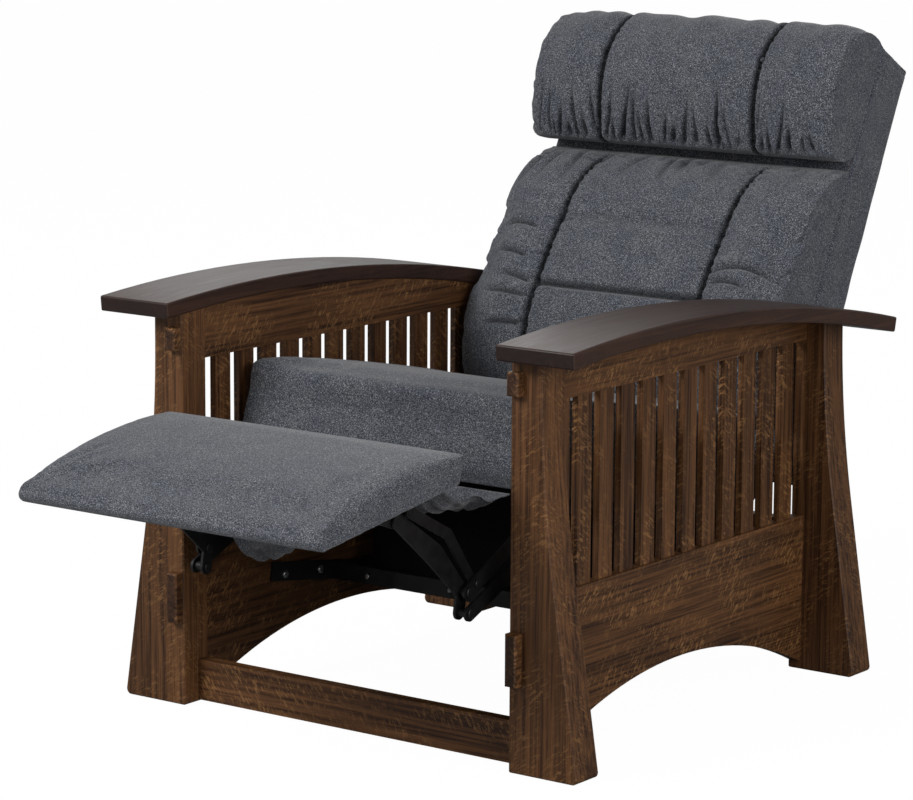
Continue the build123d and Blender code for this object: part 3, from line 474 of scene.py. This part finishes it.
def finish_soft(piece, node_name, body):
    """Shade it smooth, put the cloth on, hang it on its body and hide the CAD piece it stands for."""
    piece.data.materials.clear()
    piece.data.materials.append(cloth)
    piece.data.polygons.foreach_set("use_smooth", [True] * len(piece.data.polygons))
    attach(piece, body)
    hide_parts(node_name)
    size = points_of(piece).max(0) - points_of(piece).min(0)
    print(piece.name, len(piece.data.polygons), "faces", [round(float(v), 3) for v in size])


def cloth_grid(name, across, down, lay):
    """A grid of points placed by a function of two shares."""
    bpy.ops.mesh.primitive_grid_add(x_subdivisions=across, y_subdivisions=down, size=1)
    piece = bpy.context.object
    piece.name = name
    share = points_of(piece)[:, :2] + 0.5
    place_points(piece, lay(share[:, 0], share[:, 1]))
    return piece


def give_gauge(piece, gauge, finish):
    """Thickness, smooth shading and a finish."""
    alone(piece)
    modifier = piece.modifiers.new("gauge", "SOLIDIFY")
    modifier.thickness = gauge
    modifier.offset = 0
    bpy.ops.object.modifier_apply(modifier="gauge")
    piece.data.materials.append(finish)
    piece.data.polygons.foreach_set("use_smooth", [True] * len(piece.data.polygons))


# %% [markdown]
# ## The back
# The back is one upholstered frame with two pillows: a full headrest over a lower back that is quilted in three
# columns, with the middle one sewn across as well. Both are described along the reclined back: s runs up it and t
# comes forward from its rear face. Each cross seam has a level, a depth and a width. Each crease runs from one x to
# another and from one level to another, and rises in an arc between them.

# %% Coordinates on the back
back_rake = radians(26.5)
back_origin = np.array((0, front_face + 0.910, 0.5406))
back_up = np.array((0, sin(back_rake), cos(back_rake)))
back_front = np.array((0, -cos(back_rake), sin(back_rake)))
headrest_seam, lower_seam = 0.143, 0.150
frame_front, pillow_half = 0.092, 0.2785


def on_back(points):
    """Across, up and out for points of the back."""
    from_origin = points - back_origin
    return points[:, 0], from_origin @ back_up, from_origin @ back_front


# %% Headrest
headrest = skin_of("headrest_cushion", "headrest_pillow", 0.0055, 0.002, 3)
points = points_of(headrest)
x, s, t = on_back(points)
lip_drop = 0.022
droop = np.clip((t - 0.09) / 0.07, 0, 1) * np.clip((0.27 - s) / 0.07, 0, 1) ** 2
place_points(headrest, points - lip_drop * droop[:, None] * back_up)
x, s, t = on_back(points_of(headrest))
from_seam = np.abs(x) - headrest_seam
underside = (s < 0.2 - 0.018 * np.clip((t - 0.09) / 0.08, 0, 1)) & (t < 0.170)
held = (t < frame_front) | ((np.abs(from_seam) < 0.004) & (s < 0.396)) | underside
stuff(headrest, held, 5.0, 0.02)
refine(headrest)
fill_width(headrest, pillow_half)
flush_sides(headrest, pillow_half)
points = points_of(headrest)
x, s, t = on_back(points)
cap_back = 0.007
cap = np.clip((0.03 - t) / 0.02, 0, 1) * np.clip((s - 0.368) / 0.006, 0, 1)
place_points(headrest, points - cap_back * cap[:, None] * back_front)
points, normals = points_of(headrest), normals_of(headrest)
x, s, t = on_back(points)
from_seam = np.abs(x) - headrest_seam
front = np.clip((t - 0.12) / 0.02, 0, 1)
face = np.clip((t - 0.158) / 0.01, 0, 1)
off_seam = np.clip(np.abs(from_seam) / 0.012, 0, 1)
lip_level, top_level = 0.184, 0.392
from_lip, from_top = np.maximum(s - lip_level, 0), np.maximum(top_level - s, 0)
move = front * stitched(from_seam, 0.013, 0.0038)
move += front * pleats(s, np.abs(from_seam), 0.18, 0.39, 0.011, 0.009, 0.0026, 3)
above_lip = np.clip((s - 0.170) / 0.010, 0, 1)
move += face * off_seam * above_lip * pleats(x, from_lip, -0.27, 0.27, 0.014, 0.026, 0.0125, 12)
move += front * off_seam * pleats(x, from_top, -0.26, 0.26, 0.066, 0.035, 0.0042, 17)
sew(headrest, points, normals, move)
finish_soft(headrest, "headrest_cushion", "back")

# %% Lower back
lower = skin_of("lower_back_cushion", "lower_back_pillow", 0.0055, 0.003, 3)
x, s, t = on_back(points_of(lower))
from_seam = np.abs(x) - lower_seam
cross_seams = [(0.040, 0.003, 0.012), (-0.082, 0.010, 0.005)]
seam = np.abs(from_seam) < 0.004
for level, depth, width in cross_seams:
    seam |= (from_seam < 0) & (np.abs(s - level) < 0.004)
held = (t < frame_front) | seam | (s < -0.232)
stuff(lower, held, 5.0, 0.02)
refine(lower)
fill_width(lower, pillow_half, 0.2)
flush_sides(lower, pillow_half)
points, normals = points_of(lower), normals_of(lower)
x, s, t = on_back(points)
from_seam = np.abs(x) - lower_seam
inner = np.clip(-from_seam / 0.006, 0, 1)
outer = np.clip(from_seam / 0.01, 0, 1)
front = np.clip((t - 0.11) / 0.02, 0, 1)
move = front * stitched(from_seam, 0.014, 0.0038)
move += front * pleats(s, np.abs(from_seam), -0.23, 0.17, 0.014, 0.013, 0.0035, 23)
for level, depth, width in cross_seams:
    move += front * inner * stitched(s - level, depth, width)
creases = [
    (-0.178, -0.258, 0.010, 0.012, 0.0054),
    (-0.178, -0.252, -0.042, -0.033, 0.0030),
    (-0.158, -0.220, -0.084, -0.074, 0.0024),
    (-0.154, -0.245, -0.108, -0.105, 0.0018),
    (-0.156, -0.230, -0.154, -0.159, 0.0018),
    (0.152, 0.278, -0.038, -0.043, 0.0162),
    (0.155, 0.235, -0.054, -0.060, 0.0072),
]
for start, end, level, end_level, rise in creases:
    share = (x - start) / (end - start)
    above = s - (level + (end_level - level) * share + rise * 4 * share * (1 - share))
    inside = np.clip(share / 0.15, 0, 1) * np.clip((1 - share) / 0.3, 0, 1)
    ridge = 0.0035 * np.exp(-(((above - 0.011) / 0.008) ** 2))
    move += front * outer * inside * (stitched(above, 0.008, 0.0034) + ridge)
move += front * pleats(x, np.maximum(0.178 - s, 0), -0.26, 0.26, 0.030, 0.030, 0.010, 41)
sew(lower, points, normals, move)
finish_soft(lower, "lower_back_cushion", "back")

# %% [markdown]
# ## The back's cover
# Cloth is pulled right round the back's wooden frame and stapled at its foot, so from the side the back is one smooth
# panel, and cloth shows in the gap between the pillows. It is a grid of points laid round a rounded rectangle.

# %% Back cover
cover_half, cover_rear, cover_front, cover_corner = 0.2775, -0.0012, 0.0886, 0.008
cover_foot, cover_height = -0.297, 0.674


def lay_cover(u, v):
    """Round the frame by the first share and up it by the second."""
    width, depth = 2 * (cover_half - cover_corner), cover_front - cover_rear - 2 * cover_corner
    bend = cover_corner * pi / 2
    marks = np.cumsum([0, width / 2, bend, depth, bend, width, bend, depth, bend, width / 2])
    along = u * marks[-1]
    x, t = np.zeros_like(u), np.zeros_like(u)
    middle = (cover_front + cover_rear) / 2
    heading, at_x, at_t = 0.0, 0.0, cover_rear
    for number, (start, end) in enumerate(zip(marks, marks[1:])):
        here = (along >= start - 1e-9) & (along <= end + 1e-9)
        run = along - start
        if number % 2 == 0:
            x[here] = (at_x + cos(heading) * run)[here]
            t[here] = (at_t + sin(heading) * run)[here]
            at_x, at_t = at_x + cos(heading) * (end - start), at_t + sin(heading) * (end - start)
        else:
            turned = heading + run / cover_corner
            x[here] = (at_x + cover_corner * (np.sin(turned) - sin(heading)))[here]
            t[here] = (at_t + cover_corner * (cos(heading) - np.cos(turned)))[here]
            after = heading + pi / 2
            at_x += cover_corner * (sin(after) - sin(heading))
            at_t += cover_corner * (cos(heading) - cos(after))
            heading = after
    s = cover_foot + cover_height * v
    slack = 0.0012 * ripple(s + 0.4 * along, 0.055, 51) + 0.0007 * ripple(along - 0.3 * s, 0.03, 52)
    spread = 1 + slack / cover_half * (np.abs(t - middle) < 0.04)
    return back_origin + np.outer(x * spread, (1, 0, 0)) + np.outer(s, back_up) + np.outer(t, back_front)


cover = cloth_grid("back_cover", 260, 110, lay_cover)
bpy.ops.object.mode_set(mode="EDIT")
bpy.ops.mesh.select_all(action="SELECT")
bpy.ops.mesh.remove_doubles(threshold=0.0001)
bpy.ops.mesh.normals_make_consistent(inside=False)
bpy.ops.object.mode_set(mode="OBJECT")
give_gauge(cover, 0.0012, cloth)
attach(cover, "back")

# %% [markdown]
# ## Seat and footrest
# The seat is one smooth boxed cushion whose front rolls over the frame's front board. The footrest is a thin pad
# that is pulled down to its board all round, so it is highest along the middle and sharp at its toe.

# %% Seat cushion
seat_tilt = radians(11.6)
seat_origin = np.array((0, front_face + 0.110, 0.366))
seat_along = np.array((0, cos(seat_tilt), -sin(seat_tilt)))
seat_up = np.array((0, sin(seat_tilt), cos(seat_tilt)))
seat = skin_of("seat_cushion", "seat_pad", 0.0065, 0.003)
from_origin = points_of(seat) - seat_origin
along, up = from_origin @ seat_along, from_origin @ seat_up
held = (up < 0.07) & (along > 0.02) | (up < 0.012) | (along > 0.5)
stuff(seat, held, 4.0, 0.009)
refine(seat)
fill_width(seat, 0.284, 0.2)
points = points_of(seat)
near_side = np.clip((np.abs(points[:, 0]) - 0.19) / 0.09, 0, 1)
near_top = np.clip(((points - seat_origin) @ seat_up - 0.08) / 0.05, 0, 1)
boxed_rise = 0.006
place_points(seat, points + boxed_rise * (near_side * near_top)[:, None] * seat_up)
finish_soft(seat, "seat_cushion", "seat")

# %% Footrest pad
slope = radians(8.04)
footrest_origin = np.array((0, front_face - 0.090, 0.409))
footrest_out = np.array((0, -cos(slope), -sin(slope)))
footrest_up = np.array((0, -sin(slope), cos(slope)))
pad = skin_of("footrest_cushion", "footrest_pad", 0.0055, 0.001, 3)
from_origin = points_of(pad) - footrest_origin
out, up = from_origin @ footrest_out, from_origin @ footrest_up
held = (up < 0.016) | (out < -0.02)
stuff(pad, held, 4.0, 0.007)
refine(pad)
finish_soft(pad, "footrest_cushion", "footrest")

# %% [markdown]
# ## Slack cloth and dust cloth
# Between footrest and seat hangs a slack cloth. It sags most near its left end. Behind the front tube hangs a black
# dust cloth, which is why nothing of the base shows behind it. Both are grids of points, the slack cloth's laid along
# a sagging line, with folds that follow the pull.

# %% Cloth between footrest and seat
flap_width = 0.428
sag_places = [-0.214, -0.206, -0.190, -0.165, -0.120, -0.060, 0.020, 0.120, 0.190, 0.214]
sag_depths = [0.060, 0.100, 0.135, 0.150, 0.132, 0.085, 0.060, 0.045, 0.030, 0.018]
flap_from = np.array((front_face - 0.0754, 0.4105))
flap_to = np.array((front_face + 0.110, 0.3625))


def lay_flap(u, v):
    """Across by the first share, and from the footrest to the seat by the second."""
    x = (u - 0.5) * flap_width
    sag = np.interp(x, sag_places, sag_depths)
    line = flap_from[None] + (flap_to - flap_from)[None] * v[:, None]
    loose = np.sin(pi * v)
    fall = sag * (1 - np.abs(2 * v - 1) ** 2.6)
    fold = 0.010 * loose * np.sin(2 * pi * (x / 0.034 + 0.8 * ripple(x, 0.05, 61)) + 3 * v) * ripple(x, 0.06, 62)
    fold += 0.008 * loose * ripple(v * 0.2 + 0.15 * x, 0.03, 63)
    crinkle = 0.004 * loose * ripple(x + 0.5 * v * 0.2, 0.012, 64) * ripple(v * 0.2, 0.02, 65)
    y = line[:, 0] + 0.006 * loose * ripple(x, 0.028, 66)
    return np.stack([x + 0.004 * loose * ripple(v * 0.2, 0.03, 67), y, line[:, 1] - fall + fold + crinkle], axis=1)


flap = cloth_grid("slack_cloth", 150, 60, lay_flap)
give_gauge(flap, 0.0012, cloth)
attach(flap, "seat")
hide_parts("footrest_flap")
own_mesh(flap)

# %% Dust cloth
cambric = plain_finish("black_cambric", (0.010, 0.010, 0.011), 0.0, 0.9, 0.0004)
cambric.node_tree.nodes["Principled BSDF"].inputs["Specular IOR Level"].default_value = 0.1
dust_width = 0.492


def lay_dust_cloth(u, v):
    """Across by the first share, and down by the second."""
    x = (u - 0.5) * dust_width
    y = front_face + 0.392 + 0.006 * v * np.sin(x / 0.05 + 2 * ripple(x, 0.09, 71)) + 0.003 * ripple(x, 0.03, 72) * v
    return np.stack([x, y, 0.306 - 0.182 * v + 0.003 * v * ripple(x, 0.06, 73)], axis=1)


dust_cloth = cloth_grid("dust_cloth", 90, 30, lay_dust_cloth)
give_gauge(dust_cloth, 0.0008, cambric)
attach(dust_cloth, "seat")

# %% [markdown]
# ## Bolts and rivets
# Every pivot of the linkage ends in a rivet head, plated bolts fix the base bars to the rails, and screws show on the
# front tube. Each head is a short cylinder with its rim rounded, made at its own place.

# %% Rivet heads and bolts
def head_at(name, place, radius, height, side, finish, body, sides=20, turn="Y"):
    """A low round head on a face that looks along +X or -X, or to the front where it turns about X."""
    bpy.ops.mesh.primitive_cylinder_add(vertices=sides, radius=radius, depth=height)
    piece = bpy.context.object
    piece.name = name
    bpy.ops.object.mode_set(mode="EDIT")
    bpy.ops.mesh.select_mode(type="FACE")
    bpy.ops.mesh.select_all(action="DESELECT")
    bpy.ops.object.mode_set(mode="OBJECT")
    for face in piece.data.polygons:
        face.select = face.normal.z > 0.9
    bpy.ops.object.mode_set(mode="EDIT")
    bpy.ops.mesh.bevel(offset=height * 0.6, segments=3)
    bpy.ops.mesh.normals_make_consistent(inside=False)
    bpy.ops.object.mode_set(mode="OBJECT")
    off = (side * height / 2, 0) if turn == "Y" else (0, -height / 2)
    at = Vector((place[0] + off[0], front_face + place[1] + off[1], place[2]))
    piece.data.transform(Matrix.Translation(at) @ Matrix.Rotation(side * pi / 2, 4, turn))
    piece.data.materials.append(finish)
    piece.data.polygons.foreach_set("use_smooth", [len(face.vertices) == 4 for face in piece.data.polygons])
    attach(piece, body)


worn = plain_finish("worn_steel", (0.02, 0.02, 0.022), 0.5, 0.4, 0.0001)
outer_pivots = {
    "rear_pivot": ((0.252, 0.1397, 0.329), 0.0075, "seat"),
    "control_pivot": ((0.252, 0.1165, 0.2815), 0.0075, "seat"),
    "knee": ((0.240, -0.022, 0.250), 0.0075, "rear_links"),
    "control_tail": ((0.246, -0.0269, 0.2224), 0.0075, "control_links"),
    "stay_foot": ((0.240, -0.004, 0.25925), 0.006, "rear_links"),
    "tilt": ((0.2583, 0.470, 0.262), 0.0075, "wood_frame"),
}
inner_pivots = {
    "inner_knee": ((0.224, -0.022, 0.250), 0.0075, "front_links"),
    "inner_tail": ((0.224, -0.0269, 0.2224), 0.0065, "control_links"),
    "inner_foot": ((0.218, -0.165, 0.372), 0.0075, "footrest"),
}
bar_bolts = ((0.232, 0.1556), (0.3165, 0.1480), (0.600, 0.104))
tube_screws = (-0.2268, -0.070, 0.090)
rivet_height, bolt_height, screw_height = 0.003, 0.004, 0.003
for side, side_name in ((1, "right"), (-1, "left")):
    for pivots, looks in ((outer_pivots, side), (inner_pivots, -side)):
        for name, (place, radius, body) in pivots.items():
            place = (side * place[0], *place[1:])
            head_at(f"{name}_head_{side_name}", place, radius, rivet_height, looks, worn, body)
    for number, (y, z) in enumerate(bar_bolts, start=1):
        place = (side * 0.2905, y, z)
        head_at(f"bar_bolt_{number}_{side_name}", place, 0.0065, bolt_height, -side, zinc, "wood_frame", 6)
for number, x in enumerate(tube_screws, start=1):
    head_at(f"tube_screw_{number}", (x, 0.354, 0.139), 0.0045, screw_height, 1, zinc, "wood_frame", 6, "X")
heads = 2 * (len(outer_pivots) + len(inner_pivots) + len(bar_bolts)) + len(tube_screws)
print("rivets and bolts:", heads)
